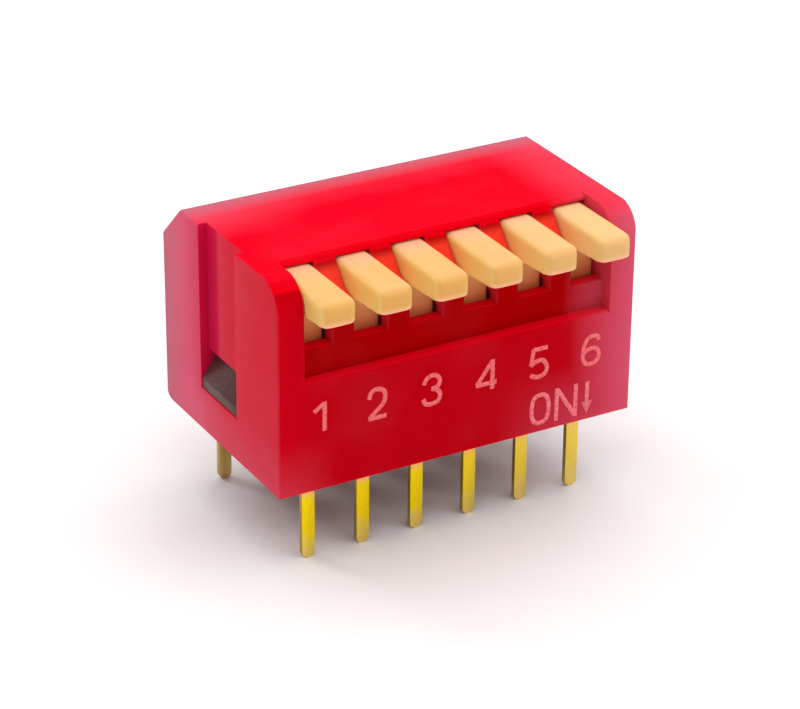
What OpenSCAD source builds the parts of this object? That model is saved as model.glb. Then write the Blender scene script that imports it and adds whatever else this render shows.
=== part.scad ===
// Piano-type DIP switch: a row of rocking keys that are pressed down from the
// front edge, each closing one pair of through-hole terminals.
// Origin: centre of the terminal grid, on the face that sits on the board.
// +X runs along the keys from 1 upwards, the keys reach out towards -Y.
// Side outlines are drawn in (distance behind the front face, height).

/* [Row] */
// Number of keys
poles = 6; // [2:1:12]
// Distance from one key to the next
pitch = 2.54; // [2.5:0.01:2.6]
// Distance between the two rows of terminals
row_spacing = 7.62; // [7.3:0.01:7.8]

/* [Cover] */
// Length that the two end walls add to the row of keys
end_margin = 1.39; // [1.1:0.01:2]
// Distance from each row of terminals to the face beside it
row_margin = 1.38; // [1.2:0.01:1.6]
// Height of the body above the board
body_h = 9.3; // [9.1:0.05:10]
// Height of the room for the keys and contacts, from the base's top to the body's
works_h = 5.2; // [5.1:0.05:5.3]
// Thickness of the top wall
top_wall = 0.9; // [0.8:0.05:1]
// Thickness of the back wall
back_wall = 0.8; // [0.5:0.05:0.9]
// Thickness of the front wall beside the base
front_wall = 0.7; // [0.5:0.05:0.75]
// Run of the sloped back edge along the top
slope_run = 1.75; // [0.8:0.05:2]
// Drop of the sloped back edge down the back
slope_drop = 1.7; // [0.8:0.05:2]
// Radius at the front top corner of each end wall
brow_r = 1.3; // [0.4:0.05:1.6]
// Radius at the bottom back corner
heel_r = 0.5; // [0.2:0.05:0.7]
// Radius on the other outer edges
edge_r = 0.1; // [0.05:0.01:0.3]

/* [Front of the cover] */
// Depth of the recess behind the fingers
recess_d = 0.6; // [0.4:0.05:0.7]
// Thickness of the ledge below the recess
ledge_t = 0.45; // [0.3:0.05:0.5]
// Clearance between the ledge and the front pads
ledge_gap = 0.05; // [0.03:0.01:0.1]
// Distance from the pivot down to the bottom of the key slots
slot_drop = 0.25; // [0.2:0.05:0.4]
// Thickness of the wall that the slots cut
comb_t = 0.65; // [0.5:0.05:0.75]
// Distance from the underside of the lip down to the front edge of the comb
comb_drop = 1.25; // [1.15:0.05:1.5]
// Run of the first slope on top of the comb, up to the steeper one
comb_run = 0.75; // [0.6:0.05:0.9]
// Rise of the first slope on top of the comb
comb_rise = 0.25; // [0.15:0.05:0.4]
// Distance from the front face to the lip over the fingers
lip_y = 2.2; // [1.9:0.05:2.3]
// Thickness of the lip
lip_t = 0.3; // [0.25:0.01:0.4]
// Depth of the pocket under the lip, where the keys step up
lip_d = 0.95; // [0.9:0.01:1.05]
// Radius on the front edges of lip and ledge
lip_r = 0.2; // [0.05:0.01:0.2]

/* [Notch and latches] */
// Distance from the front face to the notch and the latch windows
notch_y = 3.75; // [3.5:0.05:4]
// Width of the notch and the latch windows
notch_w = 3.25; // [2.9:0.05:3.4]
// Depth of the notch in the end wall
notch_d = 0.4; // [0.2:0.01:0.8]
// Height of the latch windows; the notch ends level with the bottom of one
window_h = 1.72; // [1.4:0.01:2]
// Distance from the base's top down to the windows
window_drop = 0.5; // [0.3:0.05:0.6]
// Height of the sloped lead-in of a barb
barb_lead = 1.2; // [0.8:0.05:1.25]
// Depth of the lead-in at the top of the barb
barb_taper = 0.75; // [0.4:0.05:0.8]

/* [Base] */
// How far the underside stands clear of the board
base_lift = 0.2; // [0.1:0.05:0.4]
// Clearance between base and cover
base_gap = 0.05; // [0.03:0.01:0.08]
// Height of the cored pockets in the underside
core_h = 2.4; // [1.5:0.1:2.6]
// Wall between neighbouring pockets
core_web = 1; // [0.8:0.05:1.2]
// Wall between a leg and its pocket
core_rim = 0.9; // [0.6:0.05:1.2]
// Wall around the cradle that carries the hubs
cradle_wall = 0.3; // [0.25:0.01:0.4]
// Clearance between a moving contact and the cheeks of the cradle
cheek_gap = 0.05; // [0.03:0.01:0.08]

/* [Keys] */
// Width of a key
key_w = 1.5; // [1.4:0.01:1.52]
// Clearance on each side of a key
key_gap = 0.04; // [0.03:0.01:0.06]
// How far the finger stands out of the front face
finger_out = 1.56; // [0.8:0.02:1.8]
// Thickness of the finger at its tip
finger_t = 1.04; // [0.9:0.01:1.08]
// What the finger gains in thickness up to the slot
finger_gain = 0.25; // [0.1:0.01:0.3]
// Radius on the finger's top front edge
nose_r = 0.5; // [0.1:0.01:0.6]
// Radius on the finger's bottom front edge
chin_r = 0.12; // [0.05:0.01:0.15]
// Radius at the front corners, seen from above
tip_r = 0.35; // [0.1:0.01:0.4]
// Radius on the long edges
key_r = 0.25; // [0.05:0.01:0.3]
// Clearance between finger and lip
lip_gap = 0.07; // [0.04:0.01:0.1]
// Clearance between the crest of the key and the top wall
crest_gap = 0.05; // [0.03:0.01:0.08]
// Distance from the step in the key's top to the step behind the lip
step_gap = 0.25; // [0.15:0.01:0.35]
// Clearance between the block under the finger and the comb
comb_gap = 0.1; // [0.08:0.01:0.15]
// How far the block hangs below the bottom of the slot
block_drop = 0.55; // [0.4:0.05:0.7]
// Clearance between the block and the cradle
block_gap = 0.45; // [0.4:0.01:0.6]
// Angle between off and on
throw = 12; // [9:0.5:13]
// Distance from the front face to the pivot
pivot_y = 4.6; // [4.5:0.05:4.8]
// Height of the pivot above the base
pivot_rise = 2.2; // [2.15:0.05:2.3]
// Radius of the hub
hub_r = 0.7; // [0.6:0.01:0.75]
// Radial clearance of the hub in its cradle
hub_gap = 0.05; // [0.02:0.01:0.08]
// Distance from the pivot up to the underside of the neck
neck_rise = 0.3; // [0.2:0.05:0.4]
// Length of the tail behind the pivot
tail_len = 2.15; // [1.8:0.05:2.5]
// Thickness of the tail at its end
tail_t = 1.14; // [1:0.01:1.25]
// Size of the chamfers on the tail
tail_chamfer = 0.25; // [0.1:0.05:0.3]
// Height of the cam's flat above the pads
cam_rise = 0.8; // [0.77:0.01:0.85]
// Reach of the cam in front of the pivot
cam_front = 0.6; // [0.5:0.01:0.65]
// Reach of the cam behind the pivot
cam_back = 0.5; // [0.45:0.01:0.6]
// Radius of the peg that holds the moving contact
peg_r = 0.13; // [0.1:0.01:0.15]
// Clearance under the staked head of the peg
peg_gap = 0.02; // [0.01:0.01:0.04]
// Overhang and height of the staked head
peg_head = 0.1; // [0.05:0.01:0.12]

/* [Terminals] */
// Thickness of the terminal strip
leg_t = 0.25; // [0.2:0.01:0.28]
// Width of a leg
leg_w = 0.59; // [0.45:0.01:0.65]
// Length of the legs below the body
leg_out = 3.84; // [2.5:0.01:4]
// Height in the base at which a leg widens to its pad
leg_step = 1; // [0.6:0.1:2]
// Width of the pads and of the moving contact
pad_w = 0.8; // [0.7:0.01:0.85]
// Gap between the two pads of a pair
pad_gap = 0.5; // [0.4:0.01:0.6]
// How far the front pad runs on behind the point where it is touched
pad_past = 0.35; // [0.2:0.01:0.4]
// Inside radius of the bend
bend_r = 0.15; // [0.1:0.01:0.2]
// Radius of the ridge across the rear pad
ridge_r = 0.15; // [0.1:0.01:0.2]
// Height of the ridge above the pad
ridge_h = 0.04; // [0.02:0.01:0.05]

/* [Moving contacts] */
// Thickness of the spring strip
spring_t = 0.12; // [0.08:0.01:0.14]
// Distance in front of the pivot at which the contact closes
touch_y = 1.7; // [1.6:0.02:1.9]
// Gap that a dome keeps to the pad that it bears on
touch_gap = 0.01; // [0.01:0.005:0.03]
// Radius of the contact domes
dome_r = 0.25; // [0.22:0.01:0.27]
// Slit between the twin arms
slit_w = 0.12; // [0.08:0.01:0.2]
// Strip left whole between the cam and the front slit
slit_rest = 0.1; // [0.05:0.01:0.2]
// Angle by which the free end of a dome curls past level
dome_curl = 5; // [0:1:10]

/* [Hidden] */
$fn = 48;
far = 20;                                   // longer than the part in any direction
over = 1;                                   // how far a cut runs out past what it cuts
slot_w = key_w + 2 * key_gap;
rib_t = pitch - slot_w;
body_l = poles * pitch + end_margin;
body_d = row_spacing + 2 * row_margin;
inner_l = (poles - 1) * pitch + slot_w;
base_l = inner_l - 2 * base_gap;
back_row = row_margin + row_spacing;
base_h = body_h - works_h;
pad_z = base_h + leg_t;
pivot_z = base_h + pivot_rise;

// cover
ceiling = body_h - top_wall;
lip_under = body_h - lip_t;
lip_back = lip_y + lip_d;
comb_z = lip_under - comb_drop;
comb_back = recess_d + comb_t;
slot_z = pivot_z - slot_drop;
ledge_under = pad_z + ledge_gap;
ledge_z = ledge_under + ledge_t;
back_in = body_d - back_wall;
slope_len = norm([slope_run, slope_drop]);
slope_in_y = body_d - slope_run - (back_wall * slope_len - top_wall * slope_run) / slope_drop;
slope_in_z = body_h - slope_drop - back_wall * (slope_len - slope_drop) / slope_run;
window_top = base_h - window_drop;
notch_z = window_top - window_h;

// keys
cradle_r = hub_r + hub_gap;
cradle_out = cradle_r + cradle_wall;
finger_top = lip_under - lip_gap;
tip_under = finger_top - finger_t;
crest = ceiling - crest_gap;
key_step = lip_back - step_gap;
block_y = comb_back + comb_gap;
block_z = slot_z - block_drop;
block_back = pivot_y - cradle_out - block_gap;
neck_z = pivot_z + neck_rise;
tail_y = pivot_y + tail_len;
tail_top = crest - tail_len * tan(throw);
tail_z = tail_top - tail_t;
cam_z = pad_z + cam_rise;
peg_y = pivot_y + (cam_back - cam_front) / 2;

// contacts: where the domes are with the key off, worked out about the pivot
drop = pivot_z - pad_z - touch_gap - dome_r;        // from the pivot down to a dome that bears on a pad
rear_dome = [pivot_y - drop * sin(throw / 2), pivot_z - drop * cos(throw / 2)];
touch_r = norm([touch_y, drop]);
open_angle = atan2(touch_y, drop) + throw;
front_dome = [pivot_y - touch_r * sin(open_angle), pivot_z - touch_r * cos(open_angle)];
strip_z = cam_z - spring_t / 2;                     // middle of the strip under the cam
turn_r = (strip_z - rear_dome[1]) / 2;              // middle radius of the strip's back turn
dome_lap = 3;                                       // degrees by which a dome overlaps its arm
front_pad_end = pivot_y - touch_y + pad_past;
rear_pad_end = front_pad_end + pad_gap;

function key_x(i) = (i - (poles + 1) / 2) * pitch;

// A side outline, drawn from the front face backwards, given the length l along X
module across(l) {
    translate([-l / 2, -body_d / 2, 0])
        rotate([90, 0, 90])
            linear_extrude(l)
                children();
}

// An outline seen from the front, given the whole depth of the part
module through() {
    translate([0, far / 2, 0])
        rotate([90, 0, 0])
            linear_extrude(far)
                children();
}

// What rounding takes off a corner at the origin that points to -x, -y
module corner_cut(r) {
    difference() {
        translate([-over, -over]) square(r + over);
        translate([r, r]) circle(r);
    }
}

module rounded_rect(w, h, r) {
    translate([-w / 2 + r, -h / 2]) square([w - 2 * r, h]);
    translate([-w / 2, -h / 2 + r]) square([w, h - 2 * r]);
    for (x = [-1, 1], y = [-1, 1])
        translate([x * (w / 2 - r), y * (h / 2 - r)]) circle(r);
}

// A straight piece of strip between two points, t thick
module strip(a, b, t) {
    translate(a)
        rotate(atan2(b[1] - a[1], b[0] - a[0]))
            translate([0, -t / 2]) square([norm(b - a), t]);
}

// Part of a ring of strip: middle radius r, from angle a to angle b, up to a half turn
module bend(r, t, a, b) {
    reach = 4 * (r + t);
    mid = (a + b) / 2;
    intersection() {
        difference() {
            circle(r + t / 2);
            circle(r - t / 2);
        }
        polygon([
            [0, 0],
            reach * [cos(a), sin(a)],
            reach * [cos(mid), sin(mid)],
            reach * [cos(b), sin(b)]
        ]);
    }
}

// ---- cover ----

module cover_side() {
    difference() {
        square([body_d, body_h]);
        polygon([
            [body_d - slope_run, body_h],
            [body_d, body_h - slope_drop],
            [body_d + over, body_h - slope_drop],
            [body_d + over, body_h + over],
            [body_d - slope_run, body_h + over]
        ]);
        translate([0, body_h]) mirror([0, 1]) corner_cut(brow_r);
        translate([body_d, 0]) mirror([1, 0]) corner_cut(heel_r);
    }
}

// The block with its edges rounded, sharp only around the face that sits on the board
module cover_blank() {
    intersection() {
        across(body_l) cover_side();
        linear_extrude(body_h) rounded_rect(body_l, body_d, edge_r);
        through()
            translate([0, body_h / 2 - edge_r])
                rounded_rect(body_l, body_h + 2 * edge_r, edge_r);
    }
}

// Room for the base and, above it, for the base's cradle and ribs
module cover_cavity() {
    across(inner_l)
        polygon([
            [front_wall, -over],
            [back_in, -over],
            [back_in, pivot_z + base_gap],
            [comb_back, pivot_z + base_gap],
            [comb_back, ledge_under],
            [front_wall, ledge_under]
        ]);
}

// Room for one key: its slot in the comb, the pocket under the lip and the cell behind
module key_cell() {
    across(slot_w)
        polygon([
            [recess_d - edge_r, slot_z],
            [back_in, slot_z],
            [back_in, slope_in_z],
            [slope_in_y, ceiling],
            [lip_back, ceiling],
            [lip_back, lip_under],
            [recess_d - edge_r, lip_under]
        ]);
}

// The recess, the sloped tops of the comb and the front of the lip in one cut
module front_opening() {
    across(inner_l) {
        polygon([
            [-over, ledge_z],
            [recess_d, ledge_z],
            [recess_d, comb_z],
            [recess_d + comb_run, comb_z + comb_rise],
            [lip_y, lip_under],
            [lip_y, body_h + over],
            [-over, body_h + over]
        ]);
        translate([lip_y, body_h]) mirror([0, 1]) corner_cut(lip_r);
        translate([0, ledge_z]) mirror([0, 1]) corner_cut(lip_r);
    }
}

// Notch down the end beside key 1
module end_notch() {
    translate([-body_l / 2 - over, notch_y - body_d / 2, notch_z])
        cube([notch_d + over, notch_w, body_h]);
}

module latch_window() {
    translate([inner_l / 2 - base_gap, notch_y - body_d / 2, notch_z])
        cube([far, notch_w, window_h]);
}

module cover() {
    color("crimson")
        difference() {
            cover_blank();
            cover_cavity();
            for (i = [1:poles]) translate([key_x(i), 0, 0]) key_cell();
            front_opening();
            end_notch();
            latch_window();
            mirror([1, 0, 0]) latch_window();
        }
}

// ---- base ----

module base_block() {
    across(base_l)
        translate([front_wall + base_gap, base_lift])
            square([back_in - front_wall - 2 * base_gap, base_h - base_lift]);
}

// Cross wall that carries the hubs, open in the middle of each cell for the contact
module cradle() {
    cheek_w = pad_w + 2 * cheek_gap;
    difference() {
        across(base_l)
            translate([pivot_y - cradle_out, base_lift])
                square([2 * cradle_out, pivot_z - base_lift]);
        for (i = [1:poles])
            translate([key_x(i) - cheek_w / 2, -far / 2, base_h])
                cube([cheek_w, far, far]);
    }
}

// Ribs that keep neighbouring contacts apart
module base_ribs() {
    for (i = [1:poles - 1])
        translate([key_x(i) + pitch / 2, 0, 0])
            across(rib_t)
                translate([comb_back + base_gap, base_lift])
                    square([back_in - comb_back - 2 * base_gap, pivot_z - base_lift]);
}

// Barb that snaps into a window: its face lies just inside the end of the cover, and
// slopes in above so that the cover rides over it
module latch() {
    face = (body_l - base_l) / 2 - base_gap;
    bottom = notch_z + base_gap;
    top = window_top - base_gap;
    translate([base_l / 2, notch_y + base_gap - body_d / 2, 0])
        mirror([0, 1, 0])
            rotate([90, 0, 0])
                linear_extrude(notch_w - 2 * base_gap)
                    polygon([
                        [-over, bottom],
                        [face, bottom],
                        [face, top - barb_lead],
                        [face - barb_taper, top],
                        [-over, top]
                    ]);
}

// Pocket that cores the thick base out from below, between the two legs of one pole
module core_pocket() {
    from = row_margin + leg_t / 2 + core_rim;
    translate([-(pitch - core_web) / 2, from - body_d / 2, base_lift - over])
        cube([pitch - core_web, body_d - 2 * from, core_h + over]);
}

module base() {
    color([0.13, 0.13, 0.14])
        difference() {
            union() {
                base_block();
                cradle();
                base_ribs();
                latch();
                mirror([1, 0, 0]) latch();
            }
            across(far) translate([pivot_y, pivot_z]) circle(cradle_r);
            for (i = [1:poles])
                translate([key_x(i), 0, 0]) {
                    core_pocket();
                    front_terminal();
                    rear_terminal();
                }
        }
}

// ---- keys ----

// Finger, block under it, hub and tail; a pressed key lies flat against the top wall
// with the slope behind its crest
module key_side() {
    difference() {
        polygon([
            [-finger_out, tip_under],
            [block_y, tip_under - finger_gain],
            [block_y, block_z],
            [block_back, block_z],
            [block_back, neck_z],
            [pivot_y + hub_r, neck_z],
            [tail_y - tail_chamfer, tail_z],
            [tail_y, tail_z + tail_chamfer],
            [tail_y, tail_top - tail_chamfer],
            [tail_y - tail_chamfer, tail_top + tail_chamfer * tan(throw)],
            [pivot_y, crest],
            [key_step + lip_r, crest],
            [key_step, finger_top],
            [-finger_out, finger_top]
        ]);
        translate([-finger_out, finger_top]) mirror([0, 1]) corner_cut(nose_r);
        translate([-finger_out, tip_under]) corner_cut(chin_r);
    }
    translate([pivot_y, pivot_z]) circle(hub_r);
}

// Flat under the hub that carries the contact, with the peg that the contact is staked on
module key_cam() {
    across(pad_w)
        polygon([
            [pivot_y - cam_front, cam_z],
            [pivot_y + cam_back, cam_z],
            [pivot_y + cam_back, pivot_z],
            [pivot_y - cam_front, pivot_z]
        ]);
    translate([0, peg_y - body_d / 2, cam_z - spring_t - peg_gap]) {
        cylinder(r = peg_r, h = spring_t + 2 * peg_gap);
        translate([0, 0, -peg_head]) cylinder(r = peg_r + peg_head, h = peg_head);
    }
}

module key() {
    color([0.96, 0.84, 0.64]) {
        intersection() {
            across(key_w) key_side();
            through()
                translate([0, (finger_top + block_z) / 2])
                    rounded_rect(key_w, finger_top - block_z, key_r);
            translate([0, far / 2 - finger_out - body_d / 2, 0])
                linear_extrude(far)
                    rounded_rect(key_w, far, tip_r);
        }
        key_cam();
    }
}

// ---- metal ----

// Round-ended leg that widens inside the base, seen from the front
module leg_front() {
    translate([-leg_w / 2, leg_w / 2 - leg_out]) square([leg_w, leg_out + leg_step]);
    translate([0, leg_w / 2 - leg_out]) circle(leg_w / 2);
    translate([-pad_w / 2, leg_step]) square([pad_w, base_h]);
}

// Strip that rises through the base and bends over onto its top, for a leg at y = 0
module leg_side(pad_len) {
    lean = bend_r + leg_t / 2;
    translate([-leg_t / 2, -leg_out]) square([leg_t, leg_out + base_h - bend_r]);
    translate([lean, base_h - bend_r]) bend(lean, leg_t, 90, 180);
    translate([lean, base_h]) square([pad_len - lean, leg_t]);
}

module front_terminal() {
    color("goldenrod")
        intersection() {
            across(pad_w) translate([row_margin, 0]) leg_side(front_pad_end - row_margin);
            through() leg_front();
        }
}

// The longer pad carries the low ridge that the contact snaps over
module rear_terminal() {
    color("goldenrod")
        intersection() {
            across(pad_w) {
                translate([back_row, 0]) mirror([1, 0]) leg_side(back_row - rear_pad_end);
                translate([pivot_y, pad_z + ridge_h - ridge_r]) circle(ridge_r);
            }
            through() leg_front();
        }
}

// Contact dome around c, which runs on as a straight arm to the point q behind it
module dome_arm(c, q) {
    mid_r = dome_r - spring_t / 2;
    rise = atan2(q[1] - c[1], q[0] - c[0]) + asin(mid_r / norm(q - c));
    translate(c) bend(mid_r, spring_t, 180 + dome_curl, 270 + rise + dome_lap);
    strip(c + mid_r * [sin(rise), -cos(rise)], q, spring_t);
}

// Spring that lies flat under the cam: one arm runs forward to the front pad and the
// other turns back under itself onto the rear pad
module contact_side() {
    front = [pivot_y - cam_front, strip_z];
    back = [pivot_y + cam_back, strip_z];
    turn = [0, turn_r];
    dome_arm(front_dome, front);
    strip(front, back, spring_t);
    translate(back - turn) bend(turn_r, spring_t, -90, 90);
    dome_arm(rear_dome, back - 2 * turn);
}

module moving_contact() {
    color("gold")
        difference() {
            across(pad_w) contact_side();
            translate([-slit_w / 2, -body_d / 2, pad_z])
                cube([slit_w, pivot_y - cam_front - slit_rest, far]);
            translate([-slit_w / 2, -body_d / 2, pad_z])
                cube([slit_w, pivot_y + cam_back, strip_z - turn_r - pad_z]);
            translate([0, peg_y - body_d / 2, strip_z - turn_r])
                cylinder(r = peg_r, h = far);
        }
}

cover();
base();
for (i = [1:poles]) translate([key_x(i), 0, 0]) {
    key();
    moving_contact();
    front_terminal();
    rear_terminal();
}
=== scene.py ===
import math

import bmesh
import bpy
from mathutils import Matrix, Vector
from mathutils.bvhtree import BVHTree


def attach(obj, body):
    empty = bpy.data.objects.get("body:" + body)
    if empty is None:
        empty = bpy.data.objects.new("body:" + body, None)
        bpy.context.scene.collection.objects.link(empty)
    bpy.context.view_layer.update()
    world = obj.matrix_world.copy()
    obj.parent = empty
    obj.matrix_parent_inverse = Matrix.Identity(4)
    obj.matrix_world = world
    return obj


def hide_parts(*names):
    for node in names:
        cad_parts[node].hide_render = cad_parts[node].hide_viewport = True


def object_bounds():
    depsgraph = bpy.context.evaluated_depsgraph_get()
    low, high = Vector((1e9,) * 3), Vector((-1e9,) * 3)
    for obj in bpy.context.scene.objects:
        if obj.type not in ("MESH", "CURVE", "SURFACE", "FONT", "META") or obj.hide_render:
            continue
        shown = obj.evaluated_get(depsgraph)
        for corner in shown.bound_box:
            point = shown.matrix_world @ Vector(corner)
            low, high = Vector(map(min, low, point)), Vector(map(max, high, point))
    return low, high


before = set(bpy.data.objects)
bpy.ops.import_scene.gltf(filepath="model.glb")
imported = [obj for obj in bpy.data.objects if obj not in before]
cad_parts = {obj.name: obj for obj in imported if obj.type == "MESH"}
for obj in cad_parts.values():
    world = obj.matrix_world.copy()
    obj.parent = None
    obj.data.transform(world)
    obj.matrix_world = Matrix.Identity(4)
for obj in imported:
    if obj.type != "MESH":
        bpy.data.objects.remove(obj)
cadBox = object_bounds()
mm = 0.001
print("frame loaded")


# camera
cameraLook = {
    "target": (0.0611, -0.1018, 2.26),   # mm, a point near the middle of the part
    "distance": 127.86,             # mm
    "azimuth": -29.71,              # degrees, from straight in front towards -X
    "elevation": 26.62,
    "roll": 0.54,
    "lens": 136.62,                 # mm
    "sensor": 36,                   # mm
    "sees": (0.01, 10),             # m, nearest and farthest
}


def addCamera(look):
    azimuth = math.radians(look["azimuth"])
    elevation = math.radians(look["elevation"])
    away = Vector((math.sin(azimuth) * math.cos(elevation),
                   -math.cos(azimuth) * math.cos(elevation),
                   math.sin(elevation)))
    lens = bpy.data.cameras.new("camera")
    lens.lens = look["lens"]
    lens.sensor_fit = "HORIZONTAL"
    lens.sensor_width = look["sensor"]
    lens.clip_start, lens.clip_end = look["sees"]
    camera = bpy.data.objects.new("camera", lens)
    bpy.context.scene.collection.objects.link(camera)
    turn = away.to_track_quat("Z", "Y").to_matrix().to_4x4()
    roll = Matrix.Rotation(math.radians(look["roll"]), 4, "Z")
    place = Vector(look["target"]) * mm + away * look["distance"] * mm
    camera.matrix_world = Matrix.Translation(place) @ turn @ roll
    bpy.context.scene.camera = camera


addCamera(cameraLook)
print("camera placed")


# material helpers
class Finish:
    def __init__(self, name):
        self.material = bpy.data.materials.new(name)
        self.material.use_nodes = True
        self.tree = self.material.node_tree
        self.shader = self.tree.nodes["Principled BSDF"]
        self.spot = self.add("ShaderNodeTexCoord").outputs["Object"]

    def add(self, kind, **values):
        node = self.tree.nodes.new(kind)
        for key, value in values.items():
            setattr(node, key, value)
        return node

    def link(self, source, target):
        if hasattr(source, "is_output"):
            self.tree.links.new(source, target)
        else:
            target.default_value = source

    # place on the piece, in mm, stretched by a factor for each axis
    def inMm(self, stretch=(1, 1, 1)):
        node = self.add("ShaderNodeMapping")
        node.inputs["Scale"].default_value = [s / mm for s in stretch]
        self.link(self.spot, node.inputs["Vector"])
        return node.outputs["Vector"]

    # noise whose pattern repeats about every size mm, from 0 to 1
    def noise(self, size, detail=2, stretch=(1, 1, 1), rough=0.5):
        node = self.add("ShaderNodeTexNoise")
        self.link(self.inMm(stretch), node.inputs["Vector"])
        node.inputs["Scale"].default_value = 1 / size
        node.inputs["Detail"].default_value = detail
        node.inputs["Roughness"].default_value = rough
        return node.outputs["Fac"]

    # straight line through two points, clamped: 0 at low, 1 at high
    def ramp(self, value, low, high, to=(0, 1)):
        node = self.add("ShaderNodeMapRange")
        self.link(value, node.inputs["Value"])
        for key, number in zip(("From Min", "From Max", "To Min", "To Max"), (low, high, *to)):
            node.inputs[key].default_value = number
        return node.outputs["Result"]

    def math(self, operation, *values):
        node = self.add("ShaderNodeMath", operation=operation)
        for value, target in zip(values, node.inputs):
            self.link(value, target)
        return node.outputs[0]

    # where all the masks hold
    def both(self, first, *others):
        for mask in others:
            first = self.math("MULTIPLY", first, mask)
        return first

    def total(self, first, *others):
        for share in others:
            first = self.math("ADD", first, share)
        return first

    def axis(self, vector, letter):
        node = self.add("ShaderNodeSeparateXYZ")
        self.link(vector, node.inputs[0])
        return node.outputs[letter]

    # 1 on faces that are turned along an axis, 0 on the others
    def facing(self, letter, limits, side=False):
        normal = self.add("ShaderNodeTexCoord").outputs["Normal"]
        turn = self.axis(normal, letter)
        return self.ramp(self.math("ABSOLUTE", turn) if side else turn, *limits)

    def mix(self, amount, first, second):
        node = self.add("ShaderNodeMix", data_type="RGBA")
        self.link(amount, node.inputs["Factor"])
        for colour, target in ((first, node.inputs[6]), (second, node.inputs[7])):
            self.link((*colour, 1) if isinstance(colour, tuple) else colour, target)
        return node.outputs[2]

    def bump(self, height, depth):
        node = self.add("ShaderNodeBump")
        node.inputs["Distance"].default_value = depth * mm
        self.link(height, node.inputs["Height"])
        self.link(node.outputs["Normal"], self.shader.inputs["Normal"])

    def set(self, **values):
        for key, value in values.items():
            self.link(value, self.shader.inputs[key.replace("_", " ")])


middling = (0.3, 0.7)       # the part of a noise's range that is used

# moulded red polyester of the cover
redLook = {
    "clear": (0.78, 0.0, 0.012),
    "faceShade": (0.54, 0.0, 0.006),     # painted shade on the front face, most in its middle, and on the end beside key 1
    "recessShade": (0.44, 0.0, 0.0),      # painted shade on the back wall of the recess
    "comb": (0.88, 0.045, 0.022),   # painted light on the tops of the ribs between the keys, under the lip
    "lip": (0.95, 0.0, 0.01),       # painted light on the front of the lip over the keys
    "notchShadow": (0.60, 0.0, 0.045),   # painted shadow in the end notch, next to its back wall
    "paleSheen": (0.72, 0.10, 0.175),    # painted sheen: a paler bloom towards the back and the ends, also laid on random paler clouds
    "edge": (0.43, 0.145, 0.19),    # painted sheen: duller and greyer along the back edges of the top and the end
    "endFaceShade": 0.65,        # share of the painted face shade at the ends of the front
    "leftFaceShade": 0.55,       # share of the painted face shade on the end beside key 1
    "sheenInShadow": 0.15,     # share of the painted sheen that is left in the painted notch shadow
    "specular": 0.04,
    "bending": 1.3,         # index of refraction, keeps the shine low at a slant
    "tint": (1.0, 0.12, 0.14, 1),
    "glow": 0.25,           # share of light that passes below the surface
    "depth": 0.8,           # mm
    "scatter": (1.0, 0.08, 0.08),
    "roughness": (0.36, 0.5),
    "cloud": 3.2,           # mm, size of the paler clouds
    "cloudShare": (-0.04, 0.04),
    "flow": 0.9,            # mm, size of the streaks in the gloss
    "flowRange": (0.3, 0.75),
    "flowStretch": (0.35, 1, 1),
    "grain": 0.05,          # mm, size of the tool's fine texture
    "grainDepth": 0.0012,
    "sheen": {               # painted sheen: share, and the places in mm between which it grows
        "left": 0.21,
        "back": (0.34, 0.8, 5.0),
        "rightEnd": (0.9, 5.2, 8.1),
        "rightTop": 0.46,   # of that, on the top
        "backLeft": (0.55, -3.0, -8.3),
        "low": (0.6, 2.8, 0.0),
        "lowLeft": (0.3, 2.6, 0.0),
        "topEdge": (0.72, 2.2, 3.3),
        "endEdge": (0.6, 3.2, 5.1),
        "backEdge": (0.6, -6.9, -8.3),
    },
    "turn": {               # share of the normal at which a face begins to count, and counts fully
        "front": (-0.3, -0.85),
        "left": (-0.3, -0.85),
        "back": (0.5, 0.8),
        "notBack": (0.5, 0.2),
        "top": (0.5, 0.7),
    },
    "reach": {              # places in mm between which one colour passes into the next
        "middle": (8.3, 5.5),
        "rightHalf": (1.5, 7),
        "leftHalf": (-5.5, -8),
        "behindKeys": (-0.3, 3),
        "recess": (-5.1, -4.8),
        "notchSide": (-8.2, -8.0),
        "notchFloor": (0.72, 1.0),
        "notchWall": (0, 1),
        "ribFoot": (7.2, 7.7),
        "ribTop": (8.9, 8.6),
        "ribEnds": (7.2, 7.1),
        "beforeLip": (-1.5, -1.7),
        "lip": (8.85, 8.95),
        "slope": (8.3, 9.3),
    },
}


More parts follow.
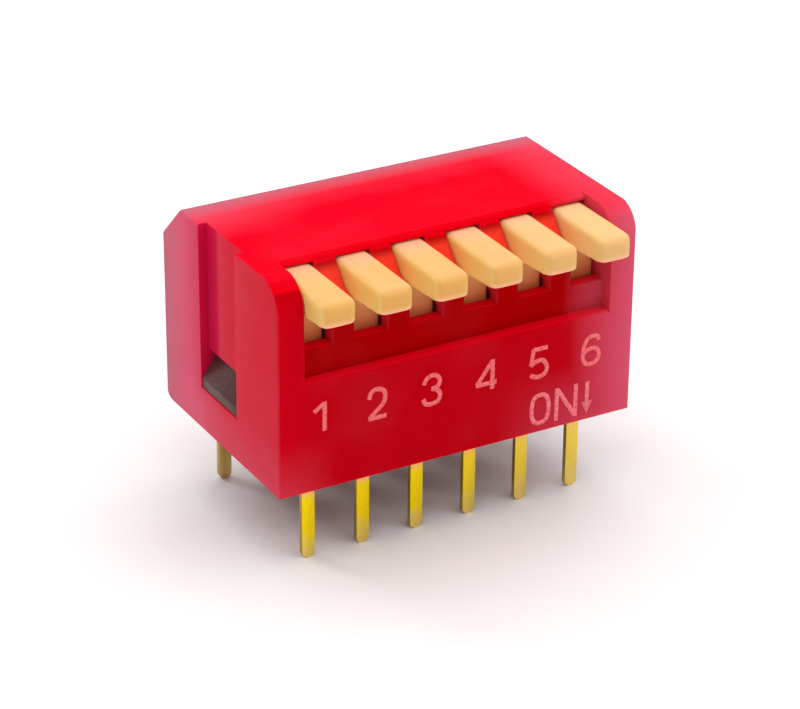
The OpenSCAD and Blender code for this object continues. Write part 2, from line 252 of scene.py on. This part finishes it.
def redPlastic(look):
    finish = Finish("redPlastic")
    place = finish.inMm()
    x, y, z = (finish.axis(place, letter) for letter in "XYZ")
    along = finish.math("ABSOLUTE", x)
    sheen = look["sheen"]

    def grow(value, key):
        share, start, end = sheen[key]
        return finish.ramp(value, start, end, (0, share))

    def facing(letter, key):
        return finish.facing(letter, look["turn"][key])

    def reach(value, key):
        return finish.ramp(value, *look["reach"][key])

    front = facing("Y", "front")
    left = facing("X", "left")
    # painted sheen: paler at the right end, at the back left corner and low down on the front
    right = finish.both(grow(x, "rightEnd"), finish.ramp(front, 0, 1, (sheen["rightTop"], 1)))
    corner = finish.both(grow(x, "backLeft"), reach(y, "behindKeys"))
    low = finish.both(grow(z, "low"), reach(x, "rightHalf"))
    lowLeft = finish.both(grow(z, "lowLeft"), reach(x, "leftHalf"))
    ends = finish.total(finish.math("MAXIMUM", right, low), corner, lowLeft)
    cloud = finish.ramp(finish.noise(look["cloud"], 3), *middling, look["cloudShare"])
    # painted sheen on the left end and towards the back, plus random paler clouds
    sheenAndClouds = finish.total(finish.both(left, sheen["left"]),
                         finish.both(ends, facing("Y", "notBack")), grow(y, "back"), cloud)
    # painted shadow on the notch floor next to its back wall, and on that wall
    notchFloor = finish.both(left, reach(x, "notchSide"), reach(y, "notchFloor"))
    notchWall = finish.both(front, reach(y, "notchWall"))
    notchShadow = finish.math("MAXIMUM", notchFloor, notchWall)
    sheenAndClouds = finish.both(sheenAndClouds, finish.ramp(notchShadow, 0, 1, (1, look["sheenInShadow"])))
    # painted light on the rib tops between the keys, under the lip
    ribLightMask = finish.both(reach(z, "ribFoot"), reach(z, "ribTop"), reach(along, "ribEnds"),
                       reach(y, "beforeLip"))
    # painted shade: the front face darker red, most in its middle
    middle = finish.ramp(along, *look["reach"]["middle"], (look["endFaceShade"], 1))
    colour = look["clear"]
    for mask, key in ((finish.both(front, middle), "faceShade"),
                      # painted shade on the back wall of the recess
                      (finish.both(front, reach(y, "recess")), "recessShade"),
                      # painted shade on the end beside key 1
                      (finish.both(left, look["leftFaceShade"]), "faceShade"),
                      (notchShadow, "notchShadow"),
                      (ribLightMask, "comb"),
                      # painted light on the front of the lip
                      (finish.both(front, reach(z, "lip"), reach(y, "beforeLip")), "lip"),
                      (finish.ramp(sheenAndClouds, 0, 1), "paleSheen")):
        colour = finish.mix(mask, colour, look[key])
    # painted sheen: duller and greyer along the back edges of the top and the end
    top = finish.both(facing("Z", "top"), reach(z, "slope"))
    edge = finish.total(finish.both(top, grow(y, "topEdge")), finish.both(left, grow(y, "endEdge")))
    edge = finish.math("MAXIMUM", edge, finish.both(facing("Y", "back"), grow(x, "backEdge")))
    colour = finish.mix(edge, colour, look["edge"])
    flow = finish.ramp(finish.noise(look["flow"], 2, look["flowStretch"]), *look["flowRange"],
                       look["roughness"])
    finish.set(Base_Color=colour, Specular_IOR_Level=look["specular"], IOR=look["bending"],
               Specular_Tint=look["tint"], Roughness=flow, Subsurface_Weight=look["glow"],
               Subsurface_Scale=look["depth"] * mm, Subsurface_Radius=look["scatter"])
    finish.bump(finish.noise(look["grain"]), look["grainDepth"])
    return finish.material


# black glass-filled polyester of the base
darkLook = {
    "colour": (0.08, 0.02, 0.022),
    "fibre": (0.15, 0.075, 0.078),
    "fibreSize": 0.12,      # mm
    "fibreStretch": (0.4, 0.4, 1.6),
    "fibreRange": (0.56, 0.74),
    "specular": 0.4,
    "roughness": (0.4, 0.6),
    "patch": 0.5,           # mm, size of the patches in the gloss
    "grain": 0.08,          # mm
    "grainDepth": 0.002,
}


def darkPlastic(look):
    finish = Finish("darkPlastic")
    fibres = finish.ramp(finish.noise(look["fibreSize"], 3, look["fibreStretch"], 0.7),
                         *look["fibreRange"])
    finish.set(Base_Color=finish.mix(fibres, look["colour"], look["fibre"]),
               Specular_IOR_Level=look["specular"],
               Roughness=finish.ramp(finish.noise(look["patch"]), *middling, look["roughness"]))
    finish.bump(finish.noise(look["grain"], 3), look["grainDepth"])
    return finish.material


# cream nylon of the keys
creamLook = {
    "colour": (0.82, 0.47, 0.17),
    "warm": (0.77, 0.42, 0.14),
    "slotShade": (0.80, 0.30, 0.11),     # painted shade down inside the slot
    "far": (0.84, 0.54, 0.25),      # the keys at the right
    # painted light: the side faces of the keys lighter
    "litSides": (0.84, 0.58, 0.175),
    "fingerFrontShade": (0.78, 0.43, 0.11),     # painted shade on the front of the finger
    "lipBounce": (0.84, 0.42, 0.225),    # painted red reflection of the lip on the top of the finger, next to the lip
    "rimGlint": (1.0, 0.52, 0.30),       # painted highlight along the front bottom edge of the finger
    "farShare": 0.6,
    "specular": 0.25,
    "roughness": (0.42, 0.55),
    "glow": 0.5,            # share of light that passes below the surface
    "depth": 0.6,           # mm
    "scatter": (1.0, 0.5, 0.25),
    "cloud": 1.1,           # mm, size of the warmer clouds
    "cloudRange": (0.35, 0.7),
    "patch": 0.4,           # mm, size of the patches in the gloss
    "grain": 0.06,          # mm
    "grainDepth": 0.001,
    "turn": {               # share of the normal at which a face begins to count, and counts fully
        "litSides": (0.5, 0.95),
        "fingerFrontShade": (-0.35, -0.85),
    },
    "reach": {              # places in mm between which one colour passes into the next
        "lipBounce": (-4.6, -3.2),
        "far": (0, 6.3),
        "slotShade": (7.8, 6.3),
        "rimFront": (-6.35, -6.6),
        "rimTop": (8.2, 7.95),
    },
}


def creamPlastic(look):
    finish = Finish("creamPlastic")
    place = finish.inMm()
    x, y, z = (finish.axis(place, letter) for letter in "XYZ")

    def reach(value, key, share=1):
        return finish.ramp(value, *look["reach"][key], (0, share))

    cloud = finish.ramp(finish.noise(look["cloud"], 3), *look["cloudRange"])
    colour = look["colour"]
    # the warm clouds are random tone; the other colours are painted reflection, painted light,
    # painted shade and a painted highlight
    for mask, key in ((cloud, "warm"),
                      (reach(y, "lipBounce"), "lipBounce"),
                      (finish.facing("X", look["turn"]["litSides"], side=True), "litSides"),
                      (finish.facing("Y", look["turn"]["fingerFrontShade"]), "fingerFrontShade"),
                      (reach(x, "far", look["farShare"]), "far"),
                      (reach(z, "slotShade"), "slotShade"),
                      (finish.both(reach(y, "rimFront"), reach(z, "rimTop")), "rimGlint")):
        colour = finish.mix(mask, colour, look[key])
    finish.set(Base_Color=colour, Specular_IOR_Level=look["specular"],
               Roughness=finish.ramp(finish.noise(look["patch"]), *middling, look["roughness"]),
               Subsurface_Weight=look["glow"], Subsurface_Scale=look["depth"] * mm,
               Subsurface_Radius=look["scatter"])
    finish.bump(finish.noise(look["grain"]), look["grainDepth"])
    return finish.material


# gold plating over stamped strip
goldLook = {
    "colour": (1.0, 0.76, 0.006),
    "tip": (0.86, 0.66, 0.20),      # thinner plating at the ends of the legs
    "coverReflection": (1.0, 0.42, 0.27),      # painted red reflection of the cover just above
    "pale": (0.76, 0.55, 0.13),     # towards the last leg of the row
    "sheared": (0.34, 0.22, 0.04),  # the faces that the die cut
    "shaded": (0.60, 0.42, 0.20),   # the row behind
    "coverReflectionShare": 0.8,
    "paleShare": 0.7,
    "shadedShare": 0.7,
    "shearedShare": 0.7,
    "sideTurn": (0.6, 0.9),
    "rootAt": (-1.1, -0.7),         # mm, heights
    "tipAt": (-2.6, -3.7),
    "paleAt": (-1, 6.3),            # mm, along the row
    "shadedAt": (-1, 2),            # mm, from row to row
    "drift": 0.5,           # mm, size of the waves where the tip begins
    "driftBy": (-0.3, 0.3),
    "streak": 0.05,         # mm
    "streakStretch": (1, 1, 0.06),
    "streakDepth": 0.0012,
    "roughness": (0.2, 0.34),
}


def goldPlate(look, tips=True):
    finish = Finish("goldPlate" if tips else "springPlate")
    colour = look["colour"]
    if tips:
        place = finish.inMm()
        x, y, z = (finish.axis(place, letter) for letter in "XYZ")
        waves = finish.ramp(finish.noise(look["drift"]), *middling, look["driftBy"])
        # painted red reflection of the cover at the roots of the legs
        for mask, key in ((finish.ramp(z, *look["rootAt"], (0, look["coverReflectionShare"])), "coverReflection"),
                          (finish.ramp(x, *look["paleAt"], (0, look["paleShare"])), "pale"),
                          (finish.ramp(finish.total(z, waves), *look["tipAt"]), "tip"),
                          (finish.ramp(y, *look["shadedAt"], (0, look["shadedShare"])), "shaded")):
            colour = finish.mix(mask, colour, look[key])
    cut = finish.both(finish.facing("X", look["sideTurn"], side=True), look["shearedShare"])
    streaks = finish.noise(look["streak"], 2, look["streakStretch"])
    finish.set(Base_Color=finish.mix(cut, colour, look["sheared"]), Metallic=1.0,
               Roughness=finish.ramp(streaks, *middling, look["roughness"]))
    finish.bump(streaks, look["streakDepth"])
    return finish.material


# white ink, thin enough for the red to show through
inkLook = {
    "colour": (1.0, 0.19, 0.21),
    "thin": (0.86, 0.09, 0.10),
    "lower": (1.0, 0.24, 0.29),     # the ON mark
    "lowerAt": (2.3, 1.9),          # mm, heights
    "speckle": 0.13,                # mm
    "speckleRange": (0.38, 0.6),
    "specular": 0.3,
    "roughness": 0.5,
}


def printInk(look):
    finish = Finish("printInk")
    covered = finish.ramp(finish.noise(look["speckle"], 3), *look["speckleRange"])
    lower = finish.ramp(finish.axis(finish.inMm(), "Z"), *look["lowerAt"])
    colour = finish.mix(lower, look["colour"], look["lower"])
    finish.set(Base_Color=finish.mix(covered, look["thin"], colour), Roughness=look["roughness"],
               Specular_IOR_Level=look["specular"])
    return finish.material


finishes = {
    "cover": redPlastic(redLook),
    "base": darkPlastic(darkLook),
    "key": creamPlastic(creamLook),
    "leg": goldPlate(goldLook),
    "spring": goldPlate(goldLook, tips=False),
    "ink": printInk(inkLook),
}
print("finishes made")


# moulded and stamped pieces: copies of the CAD nodes with their sharp edges broken
softLook = {
    "cover": {"bevel": 0.035, "segments": 3, "angle": 30},    # mm and degrees
    "base": {"bevel": 0.02, "segments": 2, "angle": 30},
    "key": {"voxel": 0.06, "rounds": 22, "keep": 0.35},
    "leg": {"bevel": 0.02, "segments": 2, "angle": 30},
}
meshCare = {
    "weld": 0.002,          # mm, points closer than this become one
    "flat": 0.5,            # degrees, faces flatter to each other than this become one
    "proud": 0.001,         # mm, how far a point may stand out of the surface
    "sharp": 35,            # degrees, edges over this aren't shaded smooth
}


def evaluatedMesh(piece, name):
    graph = bpy.context.evaluated_depsgraph_get()
    mesh = bpy.data.meshes.new_from_object(piece.evaluated_get(graph))
    mesh.name = name
    piece.modifiers.clear()
    return mesh


def brokenEdges(node, name, look):
    shape = bmesh.new()
    shape.from_mesh(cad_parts[node].data)
    bmesh.ops.remove_doubles(shape, verts=shape.verts, dist=meshCare["weld"] * mm)
    bmesh.ops.dissolve_limit(shape, angle_limit=math.radians(meshCare["flat"]),
                             verts=shape.verts, edges=shape.edges, delimit={"NORMAL"})
    surface = BVHTree.FromBMesh(shape)
    weight = shape.edges.layers.float.new("bevel_weight_edge")
    for edge in shape.edges:
        if edge.calc_face_angle_signed() > math.radians(look["angle"]):
            edge[weight] = 1
    mesh = bpy.data.meshes.new(name)
    shape.to_mesh(mesh)
    shape.free()
    piece = bpy.data.objects.new(name, mesh)
    bpy.context.scene.collection.objects.link(piece)
    bevel = piece.modifiers.new("brokenEdges", "BEVEL")
    bevel.width = look["bevel"] * mm
    bevel.segments = look["segments"]
    bevel.limit_method = "WEIGHT"
    bevel.use_clamp_overlap = False
    piece.data = evaluatedMesh(piece, name)
    for vertex in piece.data.vertices:      # a bevel's spike goes back onto the surface
        spot, normal = surface.find_nearest(vertex.co)[:2]
        if (vertex.co - spot).dot(normal) > meshCare["proud"] * mm:
            vertex.co = spot
    piece.data.shade_smooth()
    piece.data.set_sharp_from_angle(angle=math.radians(meshCare["sharp"]))
    return piece


# the worn, tumbled look of the keys: rebuilt from small cells, smoothed and thinned out
def roundedBody(node, name, look):
    piece = bpy.data.objects.new(name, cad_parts[node].data.copy())
    bpy.context.scene.collection.objects.link(piece)
    cells = piece.modifiers.new("cells", "REMESH")
    cells.mode = "VOXEL"
    cells.voxel_size = look["voxel"] * mm
    smooth = piece.modifiers.new("smooth", "SMOOTH")
    smooth.iterations = look["rounds"]
    thin = piece.modifiers.new("thin", "DECIMATE")
    thin.ratio = look["keep"]
    piece.data = evaluatedMesh(piece, name)
    piece.data.shade_smooth()
    return piece


def dress(piece, finish):
    piece.data.materials.clear()
    piece.data.materials.append(finishes[finish])


poles = sum(1 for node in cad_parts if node.startswith("key_"))
pitch = 2.54                # mm

coverShell = brokenEdges("cover", "coverShell", softLook["cover"])
dress(coverShell, "cover")
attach(coverShell, "housing")
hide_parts("cover")

baseBlock = brokenEdges("base", "baseBlock", softLook["base"])
dress(baseBlock, "base")
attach(baseBlock, "housing")
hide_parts("base")
print("cover and base made")

for i in range(1, poles + 1):
    key = roundedBody(f"key_{i}", f"keyRocker{i}", softLook["key"])
    dress(key, "key")
    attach(key, f"rocker_{i}")
    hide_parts(f"key_{i}")
    dress(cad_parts[f"moving_contact_{i}"], "spring")
print("keys made")


# rows of legs: one leg, repeated at the pitch
def socket(tree, label, kind, value=None, direction="INPUT"):
    item = tree.interface.new_socket(name=label, in_out=direction, socket_type=kind)
    if value is not None:
        item.default_value = value
    return item.identifier


def repeatTree():
    tree = bpy.data.node_groups.new("repeatAlongRow", "GeometryNodeTree")
    socket(tree, "Geometry", "NodeSocketGeometry")
    names = {
        "count": socket(tree, "Count", "NodeSocketInt", 6),
        "step": socket(tree, "Step", "NodeSocketFloat", 1.0),
        "finish": socket(tree, "Finish", "NodeSocketMaterial"),
    }
    socket(tree, "Geometry", "NodeSocketGeometry", direction="OUTPUT")
    source = tree.nodes.new("NodeGroupInput")
    result = tree.nodes.new("NodeGroupOutput")
    line = tree.nodes.new("GeometryNodeMeshLine")
    offset = tree.nodes.new("ShaderNodeCombineXYZ")
    copies = tree.nodes.new("GeometryNodeInstanceOnPoints")
    real = tree.nodes.new("GeometryNodeRealizeInstances")
    finish = tree.nodes.new("GeometryNodeSetMaterial")
    tree.links.new(source.outputs["Count"], line.inputs["Count"])
    tree.links.new(source.outputs["Step"], offset.inputs["X"])
    tree.links.new(offset.outputs[0], line.inputs["Offset"])
    tree.links.new(line.outputs["Mesh"], copies.inputs["Points"])
    tree.links.new(source.outputs["Geometry"], copies.inputs["Instance"])
    tree.links.new(copies.outputs["Instances"], real.inputs["Geometry"])
    tree.links.new(real.outputs["Geometry"], finish.inputs["Geometry"])
    tree.links.new(source.outputs["Finish"], finish.inputs["Material"])
    tree.links.new(finish.outputs["Geometry"], result.inputs["Geometry"])
    return tree, names


def addRow(tree, names, node, name):
    row = brokenEdges(f"{node}_1", name, softLook["leg"])
    repeat = row.modifiers.new("repeatAlongRow", "NODES")
    repeat.node_group = tree
    repeat[names["count"]] = poles
    repeat[names["step"]] = pitch * mm
    repeat[names["finish"]] = finishes["leg"]
    row.data = evaluatedMesh(row, name)
    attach(row, "housing")
    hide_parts(*[f"{node}_{i}" for i in range(1, poles + 1)])


rowTree, rowNames = repeatTree()
addRow(rowTree, rowNames, "front_terminal", "frontLegs")
addRow(rowTree, rowNames, "rear_terminal", "rearLegs")
print("legs made")


# printed marks: pen strokes with a flat nib, laid on the front face
printLook = {
    "nib": 0.2,            # mm, width of a stroke
    "ink": 0.008,           # mm, thickness of the ink
    "lift": 0.0005,         # mm, each stroke over the one before it
    "face": -5.19,          # mm, the front face
    "numberSize": (0.93, 1.46),
    "numberShift": -0.06,   # mm, the numbers stand a little left of the keys
    "numberBase": 2.52,
    "onBase": 0.3,
    "onHeight": 1.52,
    "ring": (3.88, 1.0),    # middle and width of the O
    "enn": (5.15, 1.17),
    "arrow": (6.18, 0.8),
    "curveSteps": 6,
}

# strokes in a box one wide and one high; a third value widens the nib at that point
marks = {
    "1": [[(-0.46, 0.74), (0.17, 0.98)], [(0.2, 1.04), (0.2, 0)]],
    "2": [[(-0.5, 0.7), (-0.43, 0.89), (-0.2, 1), (0.12, 1), (0.42, 0.89), (0.5, 0.71),
           (0.38, 0.46), (-0.08, 0.22), (-0.5, 0)], [(-0.54, 0), (0.58, 0)]],
    "3": [[(-0.54, 0.73), (-0.38, 0.91), (-0.12, 1), (0.14, 1), (0.4, 0.9), (0.48, 0.75),
           (0.35, 0.58), (-0.04, 0.53)],
          [(-0.04, 0.53), (0.34, 0.45), (0.51, 0.26), (0.4, 0.06), (0.1, -0.01),
           (-0.2, -0.01), (-0.45, 0.06), (-0.56, 0.22)]],
    "4": [[(0.4, 1), (-0.6, 0.22)], [(-0.64, 0.21), (0.7, 0.21)], [(0.42, 1.05), (0.42, -0.03)]],
    "5": [[(0.56, 1), (-0.4, 1)], [(-0.36, 1.03), (-0.53, 0.44)],
          [(-0.53, 0.44), (-0.16, 0.56), (0.28, 0.55), (0.54, 0.28), (0.36, 0.03),
           (-0.1, -0.02), (-0.56, 0.09)]],
    "6": [[(0.53, 0.79), (0.42, 0.93), (0.16, 0.99), (-0.23, 0.92), (-0.48, 0.65),
           (-0.54, 0.28)],
          [(-0.54, 0.28), (-0.36, 0.04), (0.02, -0.03), (0.42, 0.05), (0.55, 0.28),
           (0.36, 0.49), (0, 0.54), (-0.38, 0.47), (-0.54, 0.28)]],
    "O": [[(0, 0), (0.36, 0.09), (0.5, 0.34), (0.5, 0.66), (0.36, 0.91), (0, 1),
           (-0.36, 0.91), (-0.5, 0.66), (-0.5, 0.34), (-0.36, 0.09), (0, 0)]],
    "N": [[(-0.48, 1.07), (-0.48, -0.07)], [(-0.45, 1.02), (0.45, -0.02)],
          [(0.48, 1.07), (0.48, -0.07)]],
    "arrow": [[(0, 1.05), (0, 0.3)], [(0, 0.35, 2.7), (0, -0.07, 0.1)]],
}


def smoothStroke(points, closed, steps):
    path = []
    for k in range(len(points) - 1):
        b, c = points[k], points[k + 1]
        a = points[k - 1] if k else points[-2] if closed else b
        d = points[k + 2] if k + 2 < len(points) else points[1] if closed else c
        for s in range(steps if len(points) > 2 else 1):
            t = s / steps
            path.append([0.5 * (2 * b[n] + (c[n] - a[n]) * t
                                + (2 * a[n] - 5 * b[n] + 4 * c[n] - d[n]) * t * t
                                + (3 * b[n] - a[n] - 3 * c[n] + d[n]) * t ** 3)
                         for n in (0, 1)] + list(b[2:]))
    return path if closed else path + [list(points[-1])]


def addStrokes(curve, mark, middle, width, base, height, look):
    nib = look["nib"]
    for points in marks[mark]:
        closed = points[0] == points[-1]
        path = smoothStroke(points, closed, look["curveSteps"])
        lift = len(curve.splines) * look["lift"]
        spline = curve.splines.new("POLY")
        spline.points.add(len(path) - 1)
        for point, (x, y, *wide) in zip(spline.points, path):
            point.co = ((middle + x * (width - nib)) * mm,
                        (base + nib / 2 + y * (height - nib)) * mm, lift * mm, 1)
            point.radius = wide[0] if wide else 1
        spline.use_cyclic_u = closed


def nibTree():
    tree = bpy.data.node_groups.new("flatNib", "GeometryNodeTree")
    socket(tree, "Geometry", "NodeSocketGeometry")
    names = {
        "width": socket(tree, "Nib width", "NodeSocketFloat", 1.0),
        "ink": socket(tree, "Ink thickness", "NodeSocketFloat", 1.0),
        "face": socket(tree, "Face", "NodeSocketFloat", 0.0),
        "finish": socket(tree, "Finish", "NodeSocketMaterial"),
    }
    socket(tree, "Geometry", "NodeSocketGeometry", direction="OUTPUT")
    source = tree.nodes.new("NodeGroupInput")
    result = tree.nodes.new("NodeGroupOutput")
    nib = tree.nodes.new("GeometryNodeCurvePrimitiveQuadrilateral")
    sweep = tree.nodes.new("GeometryNodeCurveToMesh")
    widths = tree.nodes.new("GeometryNodeInputRadius")
    stand = tree.nodes.new("GeometryNodeTransform")
    place = tree.nodes.new("ShaderNodeCombineXYZ")
    real = tree.nodes.new("GeometryNodeRealizeInstances")
    finish = tree.nodes.new("GeometryNodeSetMaterial")
    stand.inputs["Rotation"].default_value = (math.pi / 2, 0, 0)
    sweep.inputs["Fill Caps"].default_value = True
    tree.links.new(source.outputs["Nib width"], nib.inputs["Width"])
    tree.links.new(source.outputs["Ink thickness"], nib.inputs["Height"])
    tree.links.new(source.outputs["Geometry"], sweep.inputs["Curve"])
    tree.links.new(nib.outputs["Curve"], sweep.inputs["Profile Curve"])
    tree.links.new(widths.outputs["Radius"], sweep.inputs["Scale"])
    tree.links.new(sweep.outputs["Mesh"], stand.inputs["Geometry"])
    tree.links.new(source.outputs["Face"], place.inputs["Y"])
    tree.links.new(place.outputs[0], stand.inputs["Translation"])
    tree.links.new(stand.outputs["Geometry"], real.inputs["Geometry"])
    tree.links.new(real.outputs["Geometry"], finish.inputs["Geometry"])
    tree.links.new(source.outputs["Finish"], finish.inputs["Material"])
    tree.links.new(finish.outputs["Geometry"], result.inputs["Geometry"])
    return tree, names


def addPrint(tree, names, name, drawing, look):
    curve = bpy.data.curves.new(name, "CURVE")
    curve.dimensions = "3D"
    curve.twist_mode = "Z_UP"
    for mark, middle, width, base, height in drawing:
        addStrokes(curve, mark, middle, width, base, height, look)
    pen = bpy.data.objects.new(name + "Pen", curve)
    bpy.context.scene.collection.objects.link(pen)
    sweep = pen.modifiers.new("flatNib", "NODES")
    sweep.node_group = tree
    sweep[names["width"]] = look["nib"] * mm
    sweep[names["ink"]] = look["ink"] * mm
    sweep[names["face"]] = look["face"] * mm
    sweep[names["finish"]] = finishes["ink"]
    mesh = evaluatedMesh(pen, name)
    bpy.data.objects.remove(pen)
    shape = bmesh.new()
    shape.from_mesh(mesh)
    bmesh.ops.recalc_face_normals(shape, faces=shape.faces)
    shape.to_mesh(mesh)
    shape.free()
    piece = bpy.data.objects.new(name, mesh)
    bpy.context.scene.collection.objects.link(piece)
    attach(piece, "housing")


inkTree, inkNames = nibTree()
numberWidth, numberHeight = printLook["numberSize"]
addPrint(inkTree, inkNames, "keyNumbers",
         [(str(i), (i - (poles + 1) / 2) * pitch + printLook["numberShift"], numberWidth,
           printLook["numberBase"], numberHeight)
          for i in range(1, poles + 1)], printLook)
addPrint(inkTree, inkNames, "onMark",
         [(mark, *printLook[part], printLook["onBase"], printLook["onHeight"])
          for mark, part in (("O", "ring"), ("N", "enn"), ("arrow", "arrow"))], printLook)
print("print laid on")


# floor, lights and surroundings
studioLook = {
    "floor": {
        "colour": (0.9, 0.9, 0.9),
        "half": 1.5,        # m, half its width
        "fibre": 2.5,       # mm
        "fibreTone": (0.985, 1.0),
        "roughness": 0.7,
        "specular": 0.2,
    },
    "lights": {     # watts, width and place in m
        "topLight": (4.2, 0.9, (0.03, 0.0, 0.36)),
        "backLight": (0.2, 0.08, (-0.14, 0.26, 0.14)),
        "frontLight": (0.03, 0.3, (0.08, -0.36, 0.16)),
    },
    "world": (0.26, 0.05),  # strength in front and behind
    "worldTurn": (-0.5, 0.5),       # and the directions along Y between which it changes
}


def addFloor(look):
    half = look["half"]
    z = cadBox[0][2]
    mesh = bpy.data.meshes.new("floor")
    mesh.from_pydata([(-half, -half, z), (half, -half, z), (half, half, z), (-half, half, z)],
                     [], [(0, 1, 2, 3)])
    floor = bpy.data.objects.new("floor", mesh)
    bpy.context.scene.collection.objects.link(floor)
    finish = Finish("floorPaper")
    fibre = finish.ramp(finish.noise(look["fibre"], 3), *middling, look["fibreTone"])
    tint = finish.add("ShaderNodeMix", data_type="RGBA", blend_type="MULTIPLY")
    tint.inputs["Factor"].default_value = 1
    tint.inputs[6].default_value = (*look["colour"], 1)
    finish.link(fibre, tint.inputs[7])
    finish.set(Base_Color=tint.outputs[2], Roughness=look["roughness"],
               Specular_IOR_Level=look["specular"])
    mesh.materials.append(finish.material)


def addLight(name, power, size, place):
    light = bpy.data.lights.new(name, "AREA")
    light.shape = "SQUARE"
    light.size = size
    light.energy = power
    lamp = bpy.data.objects.new(name, light)
    bpy.context.scene.collection.objects.link(lamp)
    lamp.location = place
    lamp.rotation_euler = Vector(place).to_track_quat("Z", "Y").to_euler()


# soft surroundings, brighter in front than behind
def addWorld(look):
    world = bpy.data.worlds.new("studio")
    bpy.context.scene.world = world
    world.use_nodes = True
    tree = world.node_tree
    background = tree.nodes["Background"]
    split = tree.nodes.new("ShaderNodeSeparateXYZ")
    fade = tree.nodes.new("ShaderNodeMapRange")
    for key, number in zip(("From Min", "From Max", "To Min", "To Max"),
                           (*look["worldTurn"], *look["world"])):
        fade.inputs[key].default_value = number
    tree.links.new(tree.nodes.new("ShaderNodeTexCoord").outputs["Generated"], split.inputs[0])
    tree.links.new(split.outputs["Y"], fade.inputs["Value"])
    tree.links.new(fade.outputs["Result"], background.inputs["Strength"])
    background.inputs["Color"].default_value = (1, 1, 1, 1)


addFloor(studioLook["floor"])
for name, values in studioLook["lights"].items():
    addLight(name, *values)
addWorld(studioLook)
bpy.context.scene.view_settings.view_transform = "Standard"
print("studio lit")
